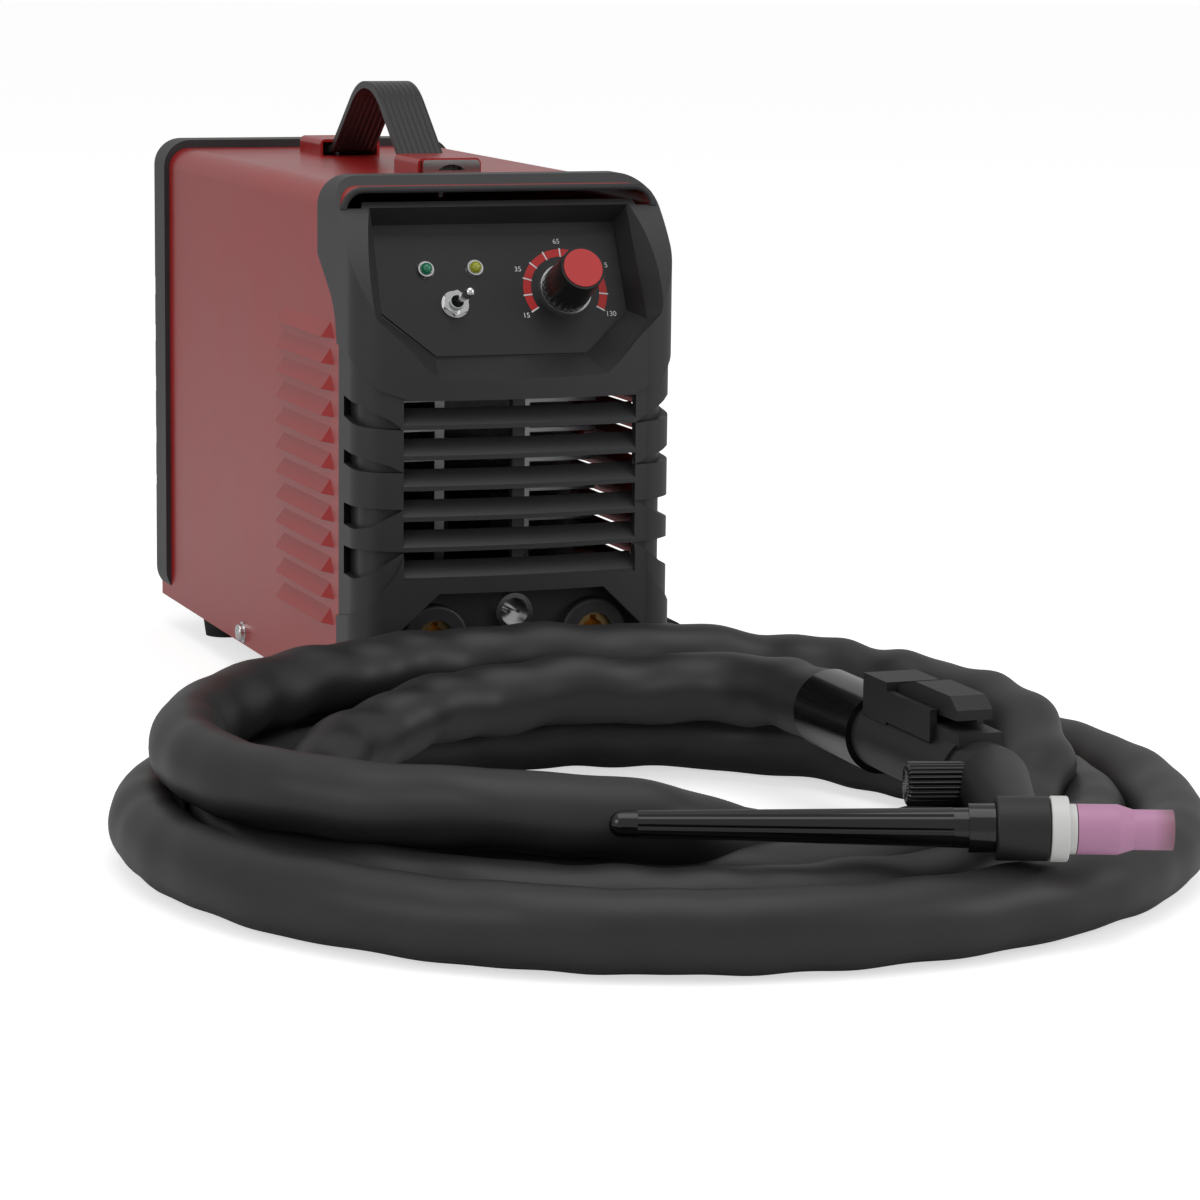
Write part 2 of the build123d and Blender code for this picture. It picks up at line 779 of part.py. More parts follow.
def make_fan_frame():
    y1 = fan_front + fan_depth
    frame = block(-40, 40, fan_front, y1, fan_height - 40, fan_height + 40)
    frame = fillet(frame.edges().filter_by(Axis.Y), 4.0)
    frame -= rod(38.0, 40, (0, fan_front - 5, fan_height), (0, 1, 0))
    frame += rod(14.0, 3.0, (0, fan_front, fan_height), (0, 1, 0))
    for turn in range(4):
        strut = block(12, 39, fan_front, fan_front + 3.0, fan_height - 1.5, fan_height + 1.5)
        frame += strut.rotate(Axis((0, 0, fan_height), (0, 1, 0)), turn * 90 + 45)
    frame -= rod(1.6, 10, (0, fan_front - 2, fan_height), (0, 1, 0))
    for x in (-35.75, 35.75):
        for z in (fan_height - 35.75, fan_height + 35.75):
            frame -= rod(2.1, 40, (x, fan_front - 5, z), (0, 1, 0))
    return frame


def make_fan_rotor():
    hub_start = (0, fan_front + 3.6, fan_height)
    rotor = rod(15.0, 18.0, hub_start, (0, 1, 0))
    rotor += rod(1.5, 5.0, (0, fan_front - 0.5, fan_height), (0, 1, 0))
    spin = Axis((0, 0, fan_height), (0, 1, 0))
    lean = Plane(origin=(0, fan_front + 12.6, fan_height), x_dir=(0, 1, 0), z_dir=(0, 0, 1))
    blade = extrude(lean * Rot(0, 0, 40) * Rectangle(17.0, 1.4), amount=36.2)
    blade -= rod(14.0, 60, (0, fan_front - 10, fan_height), (0, 1, 0))
    ring = rod(36.4, 60, (0, fan_front - 10, fan_height), (0, 1, 0))
    blade = blade & ring
    for turn in range(7):
        rotor += blade.rotate(spin, turn * 360 / 7)
    return rotor


def make_fan_guard():
    """Wire guard: rings and spokes outside the rear wall."""
    start = rear_end
    guard = pipe(39.0, 36.6, 2.0, (0, start, fan_height), (0, 1, 0))
    for radius in (30.0, 22.0, 14.0):
        guard += pipe(radius + 0.9, radius - 0.9, 2.0, (0, start, fan_height), (0, 1, 0))
    spin = Axis((0, 0, fan_height), (0, 1, 0))
    for turn in range(4):
        spoke = block(13.2, 50.5, start, start + 2.0, fan_height - 1.0, fan_height + 1.0)
        guard += spoke.rotate(spin, turn * 90 + 45)
        eye = pipe(3.6, 2.1, 2.0, (50.56, start, fan_height), (0, 1, 0))
        guard += eye.rotate(spin, turn * 90 + 45)
        guard -= rod(2.1, 6, (50.56, start - 2, fan_height), (0, 1, 0)).rotate(spin, turn * 90 + 45)
    return guard


def make_switch_body():
    x, z = switch_at
    body = block(x - 12.5, x + 12.5, rear_end, rear_end + 1.6, z - 16.5, z + 16.5)
    body += block(x - 10.4, x + 10.4, rear_end - 24, rear_end + 0.5, z - 14.4, z + 14.4)
    body -= block(x - 7.8, x + 7.8, rear_end - 16, rear_end + 3, z - 12.6, z + 12.6)
    return body


rocker_tilt = math.radians(10.0)


def make_rocker():
    """Rocker rests pressed at its lower end; its pivot runs along X."""
    x, z = switch_at
    plane = Plane(origin=(x - 7.4, rear_end - 4.0, z), x_dir=(0, 1, 0), z_dir=(1, 0, 0))
    face = plane * make_face(Polyline((-6, 8), (3.2, 11.4), (5.6, 0), (3.2, -11.4), (-6, -8), close=True))
    body = extrude(face, amount=14.8)
    pivot = Axis((x, rear_end - 4.0, z), (1, 0, 0))
    return body.rotate(pivot, math.degrees(rocker_tilt))


def make_gland():
    x, z = gland_at
    gland = rod(11.5, 5.0, (x, rear_end, z), (0, 1, 0))
    ring = Plane(origin=(x, rear_end + 5.0, z), x_dir=(1, 0, 0), z_dir=(0, 1, 0))
    gland += extrude(ring * RegularPolygon(11.0, 6), amount=8.0)
    gland += taper(10.0, 7.6, 9.0, (x, rear_end + 13.0, z), (0, 1, 0))
    gland += rod(8.0, 14.0, (x, rear_end - 14.0, z), (0, 1, 0))
    return gland - rod(4.5, 60.0, (x, rear_end - 20.0, z), (0, 1, 0))


# ---- torch ----
def along_head(distance):
    """Point on the torch head's axis, positive towards the nozzle."""
    return head_centre + head_axis * distance


def make_torch_handle():
    """Handle, gas valve body and the curved neck up to the head, in one moulding."""
    rear = Vector(handle_x, cuff_rear - 6.0, torch_height)
    handle = rod(handle_radius, rear.Y - handle_front, rear, (0, -1, 0))
    neck_ball = Pos(handle_x, handle_front, torch_height) * Sphere(handle_radius)
    to_head = head_centre - valve_origin
    reach = to_head.length
    neck = taper(handle_radius, 7.4, reach - 7.0, valve_origin, to_head.normalized())
    valve = rod(6.4, 14.6, valve_origin, valve_axis)
    body = handle + neck_ball + neck + valve
    body -= rod(10.6, 40.0, along_head(-20.0), head_axis)
    return body - rod(2.2, 40.0, valve_origin + valve_axis * 4.0, valve_axis)


def make_torch_head():
    head = rod(10.3, 17.0, along_head(-8.5), head_axis)
    head = fillet(head.edges(), 0.8)
    return head - rod(4.3, 40.0, along_head(-20.0), head_axis)


def make_back_cap():
    """Long back cap with a collar and a fluted grip that narrows to its end."""
    away = head_axis * -1.0
    cap = rod(7.9, 8.4, along_head(-8.8), away)
    cap += taper(6.5, 4.25, 110.0, along_head(-17.2), away)
    cap += Plane(along_head(-127.2), z_dir=away) * Sphere(4.25)
    cap += rod(3.9, 4.0, along_head(-5.0), away)
    for step in range(8):
        angle = math.radians(step * 45)
        across = Vector(-head_axis.Y, head_axis.X, 0) * math.cos(angle)
        offset = across + Vector(0, 0, 1) * math.sin(angle)
        start = along_head(-22.0) + offset * 7.6
        lean = (away * 110.0 - offset * 2.2).normalized()
        cap -= rod(1.7, 100.0, start, lean)
    return cap


def make_heat_shield():
    shield = rod(10.5, 5.8, along_head(8.7), head_axis)
    shield = fillet(shield.edges(), 0.6)
    shield += rod(8.0, 2.5, along_head(14.5), head_axis)
    return shield - rod(3.4, 20.0, along_head(5.0), head_axis)


def make_collet_body():
    body = rod(3.2, 16.0, along_head(6.0), head_axis)
    return body - rod(1.4, 30.0, along_head(0.0), head_axis)


def make_electrode():
    rod_part = rod(1.2, 42.0, along_head(2.0), head_axis)
    return rod_part + taper(1.2, 0.2, 4.0, along_head(44.0), head_axis)


def make_nozzle():
    start = along_head(17.3)
    cup = rod(8.05, 13.0, start, head_axis)
    cup += taper(8.05, 6.45, 5.0, along_head(30.3), head_axis)
    cup += rod(6.45, 12.6, along_head(35.3), head_axis)
    return cup - rod(4.75, 50.0, along_head(10.0), head_axis)


def make_handle_cuff():
    start = (handle_x, cuff_rear, torch_height)
    return pipe(cuff_radius, handle_radius, cuff_rear - cuff_front, start, (0, -1, 0)) + rod(
        cuff_radius, 6.0, start, (0, -1, 0)
    )


housing_rear = front - 237.0
housing_front = front - 312.0
trigger_pivot = Vector(handle_x, housing_rear - 24.0, torch_height + 19.0)


def make_trigger_housing():
    """Switch housing on top of the handle, with two side cheeks beside the lever."""
    z0 = torch_height + 8.0
    body = block(handle_x - 8, handle_x + 8, housing_front, housing_rear, z0, torch_height + 15)
    body += block(handle_x - 10, handle_x + 10, housing_rear - 20, housing_rear, z0, torch_height + 23)
    for side in (-1, 1):
        x0, x1 = sorted((handle_x + side * 7.4, handle_x + side * 10.0))
        body += block(x0, x1, housing_rear - 56, housing_rear - 16, torch_height + 9, torch_height + 20)
    body = body - rod(handle_radius, 200, (handle_x, front - 200, torch_height), (0, -1, 0))
    band = pipe(handle_radius + 1.2, handle_radius, 9.0, (handle_x, housing_front + 11, torch_height), (0, -1, 0))
    return body + band


def make_trigger_lever():
    x0, x1 = handle_x - 6.6, handle_x + 6.6
    plane = Plane(origin=(x0, 0, 0), x_dir=(0, 1, 0), z_dir=(1, 0, 0))
    y, z = trigger_pivot.Y, trigger_pivot.Z
    points = [
        (y + 2.0, z - 1.5), (y + 2.0, z + 3.5), (y - 12, z + 7.0),
        (y - 40, z + 7.0), (y - 46, z + 3.0), (y - 46, z - 0.5), (y - 6, z - 1.5),
    ]
    lever = extrude(plane * make_face(Polyline(*points, close=True)), amount=x1 - x0)
    return lever


def make_valve_knob():
    knob = rod(7.6, 14.0, valve_origin + valve_axis * 15.2, valve_axis)
    for step in range(12):
        angle = math.radians(step * 30)
        across = Vector(-valve_axis.Y, valve_axis.X, 0) * math.cos(angle)
        offset = across + Vector(0, 0, 1) * math.sin(angle)
        start = valve_origin + valve_axis * 17.5 + offset * 8.3
        knob -= rod(1.5, 9.0, start, valve_axis)
    return knob + rod(1.9, 10.0, valve_origin + valve_axis * 5.4, valve_axis)


# ---- hose, plug ----
def ellipse_prism(cx, cy, a, b, z0, z1):
    """Upright prism of an ellipse between two heights."""
    return Pos(cx, cy, z0) * extrude(Ellipse(a, b), amount=z1 - z0)


def make_hose_coil():
    """Outer shape of the coiled hose: a flat ring, and a second layer on its back half."""
    cx, cy = coil_centre.X, coil_centre.Y
    hole_y = front - 196.0
    low = ellipse_prism(cx, cy, coil_half_x, coil_half_y, 0.3, 25.4)
    low -= ellipse_prism(cx, hole_y, 105, 93, -1, 30)
    high = ellipse_prism(cx, cy + 2, 178, 176, 25.0, 55.0)
    high -= ellipse_prism(cx, hole_y - 4, 121, 94, 20, 60)
    keep_out = block(16, 126, front - 430, front - 168, 20, 60)
    front_half = block(-400, 400, front - 450, front - 300, 20, 60)
    corner = block(120, 400, front - 400, front - 235, 20, 60)
    return low + (high - keep_out - front_half - corner) - tail_side()


tail_points = [
    (168.0, front - 238.0, 14.0),
    (169.0, front - 190.0, 14.0),
    (161.0, front - 140.0, 14.0),
    (143.0, front - 93.0, 14.0),
    (121.0, front - 50.0, 14.0),
    (103.0, front - 8.0, 14.0),
    (97.0, front + 36.0, 14.6),
    (97.5, front + 70.0, 14.8),
]


def tail_side():
    """Space right of the coil that the outgoing tail runs through."""
    edge = []
    for at, after in zip(tail_points[:5], tail_points[1:6]):
        heading = (Vector(*after) - Vector(*at)).normalized()
        inward = Vector(-heading.Y, heading.X, 0) * (hose_radius + 2.0)
        edge.append((at[0] + inward.X, at[1] + inward.Y))
    edge[0] = (edge[0][0], tail_points[0][1])
    outline = edge + [(300, front), (300, tail_points[0][1])]
    return prism(Plane.XY, outline, 100)


def bend_radii(points):
    """Radius of each bend: 0.45 of the shorter run over the tangent of half the turn."""
    radii = []
    for before, at, after in zip(points, points[1:], points[2:]):
        run_in = Vector(*at) - Vector(*before)
        run_out = Vector(*after) - Vector(*at)
        turn = math.radians(run_in.get_angle(run_out))
        shorter = min(run_in.length, run_out.length)
        radii.append(0.45 * shorter / math.tan(turn / 2))
    return radii


def make_hose_tail():
    radii = bend_radii(tail_points)
    print("tail bend radii", [round(radius) for radius in radii])
    path = FilletPolyline(*tail_points, radius=radii)
    start = Vector(*tail_points[0])
    heading = Vector(*tail_points[1]) - start
    tube = sweep(Plane(origin=start, z_dir=heading) * Circle(hose_radius), path=path)
    print("tail volume", round(tube.volume), "section x length", round(math.pi * hose_radius ** 2 * path.length))
    return tube


tail_end = Vector(*tail_points[-1])
tail_heading = (tail_end - Vector(*tail_points[-2])).normalized()


def make_plug_boot():
    boot = rod(14.6, 12.0, tail_end, tail_heading)
    boot += taper(14.6, 11.5, 34.0, tail_end + tail_heading * 12.0, tail_heading)
    for step in range(5):
        ring_start = tail_end + tail_heading * (15.0 + step * 5.0)
        boot -= pipe(16.0, 11.2, 1.6, ring_start, tail_heading)
    return boot - rod(5.0, 30.0, tail_end + tail_heading * 20.0, tail_heading)


def make_plug_contact():
    start = tail_end + tail_heading * 22.0
    contact = rod(4.9, 26.0, start, tail_heading)
    contact += rod(4.5, 20.0, start + tail_heading * 25.0, tail_heading)
    key_place = start + tail_heading * 34.0 + Vector(0, 0, 4.0)
    return contact + rod(1.2, 6.0, key_place, tail_heading)


def main():
    save("cover", make_cover())
    save("base_tray", make_tray())
    save("feet", *make_feet())
    save("foot_screws", *make_foot_screws())
    save("cover_screws", *make_cover_screws())
    save("front_moulding", make_front_moulding())
    save("rear_moulding", make_rear_moulding())
    save("control_plate", make_control_plate())
    save("current_knob", make_knob())
    save("knob_cap", panel_rod(knob_radius - 1.0, knob_at, knob_height - 1.0, knob_height + 0.4))
    save("knob_nut", panel_rod(10.6, knob_at, plate, 2.0) - panel_rod(3.9, knob_at, -1, 4))
    shaft = panel_rod(3.1, knob_at, -3.0, 14.4)
    save("knob_shaft", shaft)
    body = panel_rod(12.0, knob_at, -14.4, -3.0)
    body += panel_rod(3.9, knob_at, -3.1, 2.0)
    save("potentiometer", body - panel_rod(3.3, knob_at, -3.2, 3.0))
    save("toggle_body", make_toggle_body())
    save("toggle_nut", make_toggle_nut())
    save("toggle_lever", make_toggle_lever())
    save("indicator_bezels", make_bezel(power_light_at), make_bezel(heat_light_at))
    save("power_indicator", make_lamp(power_light_at))
    save("overheat_indicator", make_lamp(heat_light_at))
    save("control_board", make_control_board())
    save("power_socket_bodies", make_power_socket_body(-1), make_power_socket_body(1))
    save("power_socket_contacts", make_power_contact(-1), make_power_contact(1))
    save("control_socket", make_control_socket())
    save("busbars", *make_busbars())
    save("strap_handle", make_strap())
    save("strap_end_caps", *make_strap_end_caps())
    save("strap_screws", *make_strap_screws())
    save("main_board", block(-55, 55, front + 40, front + 252, board_height, board_top))
    save("board_standoffs", *make_standoffs())
    save("heatsinks", *make_heatsinks())
    save("power_transistors", *make_devices(1, 4, 28, 70))
    save("rectifiers", *make_devices(-1, 3, 36, 70))
    save("transformer_core", make_transformer_core())
    save("transformer_windings", make_transformer_windings())
    save("choke_core", make_choke_core())
    save("choke_windings", *make_choke_windings())
    save("capacitors", *make_capacitors())
    save("fan_frame", make_fan_frame())
    save("fan_rotor", make_fan_rotor())
    save("fan_guard", make_fan_guard())
    save("mains_switch_body", make_switch_body())
    save("mains_rocker", make_rocker())
    save("mains_gland", make_gland())
    save("torch_handle", make_torch_handle())
    save("handle_cuff", make_handle_cuff())
    save("trigger_housing", make_trigger_housing())
    save("trigger_lever", make_trigger_lever())
    save("valve_knob", make_valve_knob())
    save("torch_head", make_torch_head())
    save("back_cap", make_back_cap())
    save("heat_shield", make_heat_shield())
    save("collet_body", make_collet_body())
    save("electrode", make_electrode())
    save("nozzle", make_nozzle())
    save("hose_coil", make_hose_coil())
    save("hose_tail", make_hose_tail())
    save("plug_boot", make_plug_boot())
    save("plug_contact", make_plug_contact())


if __name__ == "__main__":
    main()
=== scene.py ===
import json
import math

import bpy
import numpy as np
from mathutils import Matrix, Vector


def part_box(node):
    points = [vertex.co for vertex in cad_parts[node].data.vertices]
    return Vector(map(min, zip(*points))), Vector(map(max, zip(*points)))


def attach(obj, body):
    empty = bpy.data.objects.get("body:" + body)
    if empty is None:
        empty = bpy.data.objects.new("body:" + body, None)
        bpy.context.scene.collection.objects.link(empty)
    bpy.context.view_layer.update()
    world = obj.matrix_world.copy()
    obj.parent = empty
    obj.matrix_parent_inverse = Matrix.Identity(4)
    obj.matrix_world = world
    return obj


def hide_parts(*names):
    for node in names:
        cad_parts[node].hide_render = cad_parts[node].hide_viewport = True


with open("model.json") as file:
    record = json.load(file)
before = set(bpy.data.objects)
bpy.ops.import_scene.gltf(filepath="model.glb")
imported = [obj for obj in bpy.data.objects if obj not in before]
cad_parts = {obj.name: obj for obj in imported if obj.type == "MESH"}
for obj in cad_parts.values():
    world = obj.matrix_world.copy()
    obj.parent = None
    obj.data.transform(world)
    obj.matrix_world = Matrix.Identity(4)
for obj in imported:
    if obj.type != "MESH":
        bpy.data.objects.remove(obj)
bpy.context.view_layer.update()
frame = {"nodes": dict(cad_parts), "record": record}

bl_info = {
    "name": "TIG welder",
    "version": (1, 0, 0),
    "blender": (4, 5, 0),
    "location": "View3D > Sidebar > Welder",
    "description": "Finishes a portable inverter TIG welder with its torch and coiled hose",
    "category": "Object",
}

nodes = frame["nodes"]

# ---- places shared with the frame, in metres ----
front = -0.1425
panel_lean = math.radians(27.0)
panel_origin = np.array([0.0, front + 0.0141, 0.2095])
panel_normal = np.array([0.0, -math.cos(panel_lean), math.sin(panel_lean)])
panel_up = np.array([0.0, math.sin(panel_lean), math.cos(panel_lean)])
plate_face = 0.0006
knob_at = (0.0264, -0.0370)
torch_height = 0.040
handle_front = front - 0.322
head_centre = np.array([0.046, front - 0.3835, 0.039])
head_axis = np.array([0.938, -0.346, 0.0]) / math.hypot(0.938, 0.346)
valve_origin = np.array([0.065, handle_front, torch_height])
valve_axis = np.array([-0.965, 0.263, 0.0]) / math.hypot(0.965, 0.263)
coil_x = -0.013
coil_y = front - 0.218

tail_route = [
    (0.168, front - 0.238, 0.0142),
    (0.169, front - 0.190, 0.0142),
    (0.161, front - 0.140, 0.0142),
    (0.143, front - 0.093, 0.0142),
    (0.121, front - 0.050, 0.0142),
    (0.103, front - 0.008, 0.0142),
    (0.097, front + 0.036, 0.0146),
    (0.0975, front + 0.070, 0.0148),
]
# angle round the coil in degrees, radius and height of the hose's middle
coil_turns = [
    (90, 0.123, 0.034), (180, 0.125, 0.016), (270, 0.117, 0.0145), (320, 0.124, 0.016),
    (360, 0.139, 0.038), (450, 0.158, 0.041), (540, 0.167, 0.040), (600, 0.128, 0.040),
    (640, 0.090, 0.0145), (720, 0.125, 0.0142), (810, 0.143, 0.0142), (900, 0.154, 0.0142),
    (990, 0.146, 0.0142), (1080, 0.152, 0.0142), (1170, 0.172, 0.0142),
    (1260, 0.181, 0.0142), (1350, 0.177, 0.0142), (1425, 0.180, 0.0142),
]


def on_panel(x, s, d=0.0):
    """Points x across and s up the control panel, d in front of its surface."""
    x, s, d = np.broadcast_arrays(x, s, d)
    flat = panel_origin + s[..., None] * panel_up + d[..., None] * panel_normal
    flat[..., 0] += x
    return flat


# ---- mesh helpers ----
def grid_mesh(name, points, closed_u=False, closed_v=False, cap=False):
    """Surface through a grid of points; a closed direction joins its last row to its first.
    cap adds one point in the middle of each end ring and fans it."""
    rows, columns = points.shape[:2]
    index = np.arange(rows * columns).reshape(rows, columns)
    u = np.arange(rows if closed_u else rows - 1)
    v = np.arange(columns if closed_v else columns - 1)
    u, v = np.meshgrid(u, v, indexing="ij")
    a = index[u, v]
    b = index[(u + 1) % rows, v]
    c = index[(u + 1) % rows, (v + 1) % columns]
    d = index[u, (v + 1) % columns]
    faces = np.stack([a, d, c, b], -1).reshape(-1, 4).tolist()
    vertices = points.reshape(-1, 3)
    if cap:
        ends = np.stack([points[0].mean(0), points[-1].mean(0)])
        low, high = len(vertices), len(vertices) + 1
        vertices = np.concatenate([vertices, ends])
        around = np.arange(columns)
        after = (around + 1) % columns
        faces += np.stack([np.full(columns, low), index[0, after], index[0, around]], -1).tolist()
        faces += np.stack([np.full(columns, high), index[-1, around], index[-1, after]], -1).tolist()
    mesh = bpy.data.meshes.new(name)
    mesh.from_pydata(vertices.tolist(), [], faces)
    mesh.shade_smooth()
    mesh.update()
    return mesh


def add_piece(name, mesh, material, body, replaces=()):
    """Puts a mesh into the scene as a piece that rides on a body."""
    piece = bpy.data.objects.new(name, mesh)
    bpy.context.scene.collection.objects.link(piece)
    mesh.materials.clear()
    mesh.materials.append(material)
    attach(piece, body)
    if replaces:
        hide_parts(*replaces)
    return piece


def turned(origin, axis, profile, columns=96, ridges=0, depth=0.0, where=(0.0, 1.0)):
    """Surface of revolution: profile (distance along the axis, radius) carried round the axis.
    Inside the stretch 'where' the radius loses depth * (1 - |cos(ridges * angle / 2)|), which
    leaves grooves between rounded ridges."""
    axis = np.asarray(axis, float)
    side = np.cross(axis, [0.0, 0.0, 1.0])
    side /= np.linalg.norm(side)
    over = np.cross(axis, side)
    profile = np.asarray(profile, float)
    angle = np.linspace(0.0, 2 * math.pi, columns, endpoint=False)
    radius = profile[:, 1][:, None] * np.ones(columns)
    if ridges:
        along = profile[:, 0]
        span = (along >= where[0]) & (along <= where[1])
        groove = depth * (1.0 - np.abs(np.cos(ridges * angle / 2.0)))
        radius = radius - span[:, None] * groove
    points = (
        np.asarray(origin, float)
        + profile[:, 0][:, None, None] * axis
        + radius[..., None] * (np.cos(angle)[:, None] * side + np.sin(angle)[:, None] * over)
    )
    return points


# ---- materials ----
def rough_material(name, colour, roughness, metallic=0.0, grain=900.0, bump=0.1, distance=0.0001,
                   tint=0.10, spread=0.08, coat=0.0, blotch=18.0, stretch=(1.0, 1.0, 1.0)):
    """Principled material with mottled colour, uneven roughness and fine relief."""
    material = bpy.data.materials.new(name)
    material.use_nodes = True
    tree = material.node_tree
    shader = tree.nodes["Principled BSDF"]
    shader.inputs["Metallic"].default_value = metallic
    shader.inputs["Coat Weight"].default_value = coat
    shader.inputs["Coat Roughness"].default_value = 0.08
    place = tree.nodes.new("ShaderNodeTexCoord")
    mapping = tree.nodes.new("ShaderNodeMapping")
    mapping.inputs["Scale"].default_value = stretch
    tree.links.new(place.outputs["Object"], mapping.inputs["Vector"])
    patches = tree.nodes.new("ShaderNodeTexNoise")
    patches.inputs["Scale"].default_value = blotch
    patches.inputs["Detail"].default_value = 4.0
    tree.links.new(mapping.outputs["Vector"], patches.inputs["Vector"])
    ramp = tree.nodes.new("ShaderNodeValToRGB")
    low = [c * (1.0 - tint) for c in colour]
    high = [min(1.0, c * (1.0 + tint)) for c in colour]
    ramp.color_ramp.elements[0].position = 0.3
    ramp.color_ramp.elements[0].color = (*low, 1.0)
    ramp.color_ramp.elements[1].position = 0.7
    ramp.color_ramp.elements[1].color = (*high, 1.0)
    tree.links.new(patches.outputs["Fac"], ramp.inputs["Fac"])
    tree.links.new(ramp.outputs["Color"], shader.inputs["Base Color"])
    fine = tree.nodes.new("ShaderNodeTexNoise")
    fine.inputs["Scale"].default_value = grain
    fine.inputs["Detail"].default_value = 2.0
    tree.links.new(mapping.outputs["Vector"], fine.inputs["Vector"])
    polish = tree.nodes.new("ShaderNodeMapRange")
    polish.inputs["To Min"].default_value = max(0.02, roughness - spread)
    polish.inputs["To Max"].default_value = min(1.0, roughness + spread)
    tree.links.new(patches.outputs["Fac"], polish.inputs["Value"])
    tree.links.new(polish.outputs["Result"], shader.inputs["Roughness"])
    relief = tree.nodes.new("ShaderNodeBump")
    relief.inputs["Strength"].default_value = bump
    relief.inputs["Distance"].default_value = distance
    tree.links.new(fine.outputs["Fac"], relief.inputs["Height"])
    tree.links.new(relief.outputs["Normal"], shader.inputs["Normal"])
    return material


def add_ridges(material, axis, spacing, strength, distance):
    """Adds even parallel grooves across one axis to a material's relief."""
    tree = material.node_tree
    shader = tree.nodes["Principled BSDF"]
    before = shader.inputs["Normal"].links[0].from_socket
    place = tree.nodes["Texture Coordinate"]
    wave = tree.nodes.new("ShaderNodeTexWave")
    wave.wave_type = "BANDS"
    wave.bands_direction = axis
    wave.wave_profile = "SIN"
    wave.inputs["Scale"].default_value = math.pi / (10.0 * spacing)
    tree.links.new(place.outputs["Object"], wave.inputs["Vector"])
    relief = tree.nodes.new("ShaderNodeBump")
    relief.inputs["Strength"].default_value = strength
    relief.inputs["Distance"].default_value = distance
    tree.links.new(wave.outputs["Fac"], relief.inputs["Height"])
    tree.links.new(before, relief.inputs["Normal"])
    tree.links.new(relief.outputs["Normal"], shader.inputs["Normal"])


finishes = {}


